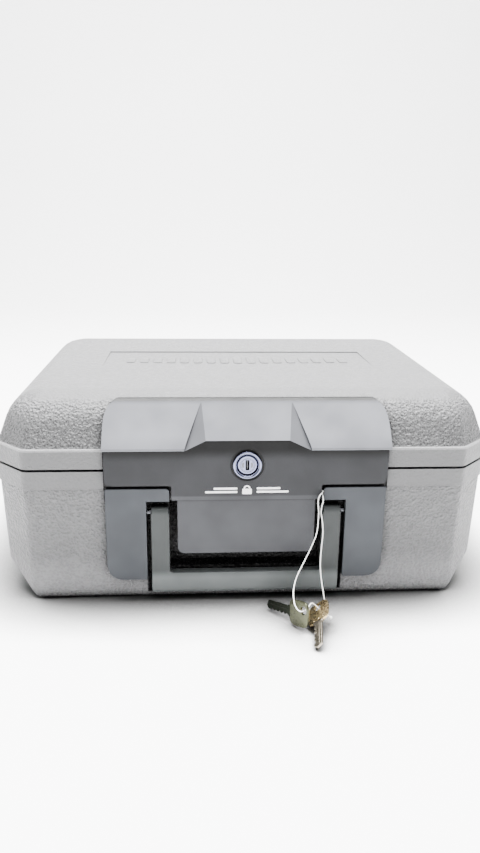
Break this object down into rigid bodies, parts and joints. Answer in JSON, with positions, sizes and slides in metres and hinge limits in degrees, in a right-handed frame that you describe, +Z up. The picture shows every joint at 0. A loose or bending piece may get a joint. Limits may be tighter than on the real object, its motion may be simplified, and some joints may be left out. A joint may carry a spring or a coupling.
{
  "type": "fire-resistant document chest",
  "caption": "Small key-lock fire-resistant document chest with hinged insulated lid, front pull tongue, folding carry handle and two keys on a loop.",
  "frame": {"origin": "on the floor, under the middle of the chest's outer box (the keys and their loop left out)", "axes": "+X to the right of someone facing the lock, +Y to the back (the hinges), +Z up"},
  "size_m": [0.363, 0.3467, 0.155],
  "materials": {
    "shell_plastic": "pebble texture, mid grey",
    "cover_plastic": "satin, dark grey",
    "liner_plastic": "fine texture, dark grey",
    "insulation": "cast, porous",
    "seal_rubber": "matte black",
    "plated_steel": "zinc plated",
    "lock_chrome": "polished",
    "key_brass": "satin",
    "key_nickel": "nickel plated, greenish tint",
    "loop_plastic": "translucent white"
  },
  "bodies": {
    "base": {"base_shell": "shell_plastic", "base_insulation": "insulation", "base_liner": "liner_plastic", "base_cover_left": "cover_plastic", "base_cover_right": "cover_plastic", "strike_plate": "plated_steel", "strike_screw_1": "plated_steel", "strike_screw_2": "plated_steel", "hinge_pin_left": "plated_steel", "hinge_pin_right": "plated_steel", "handle_pin_left": "plated_steel", "handle_pin_right": "plated_steel", "key_1": "key_brass", "key_2": "key_nickel", "key_loop": "loop_plastic", "loop_tail": "loop_plastic"},
    "lid": {"lid_shell": "shell_plastic", "lid_insulation": "insulation", "lid_liner": "liner_plastic", "lid_seal": "seal_rubber", "lid_cover": "cover_plastic", "lock_housing": "lock_chrome", "lock_nut": "plated_steel"},
    "lock": {"lock_plug": "lock_chrome", "lock_cam": "plated_steel", "cam_screw": "plated_steel"},
    "handle": {"handle": "cover_plastic"}
  },
  "joints": [
    {"name": "lid_hinge", "type": "hinge", "parent": "base", "child": "lid", "pos_m": [0, 0.1378, 0.1031], "axis": [-1, 0, 0], "range_deg": [0, 95]},
    {"name": "lock_turn", "type": "hinge", "parent": "lid", "child": "lock", "pos_m": [0, -0.1348, 0.1074], "axis": [0, -1, 0], "range_deg": [0, 90]},
    {"name": "handle_swing", "type": "hinge", "parent": "base", "child": "handle", "pos_m": [0, -0.1298, 0.07], "axis": [-1, 0, 0], "range_deg": [0, 95], "deforming": ["key_loop"]}
  ]
}
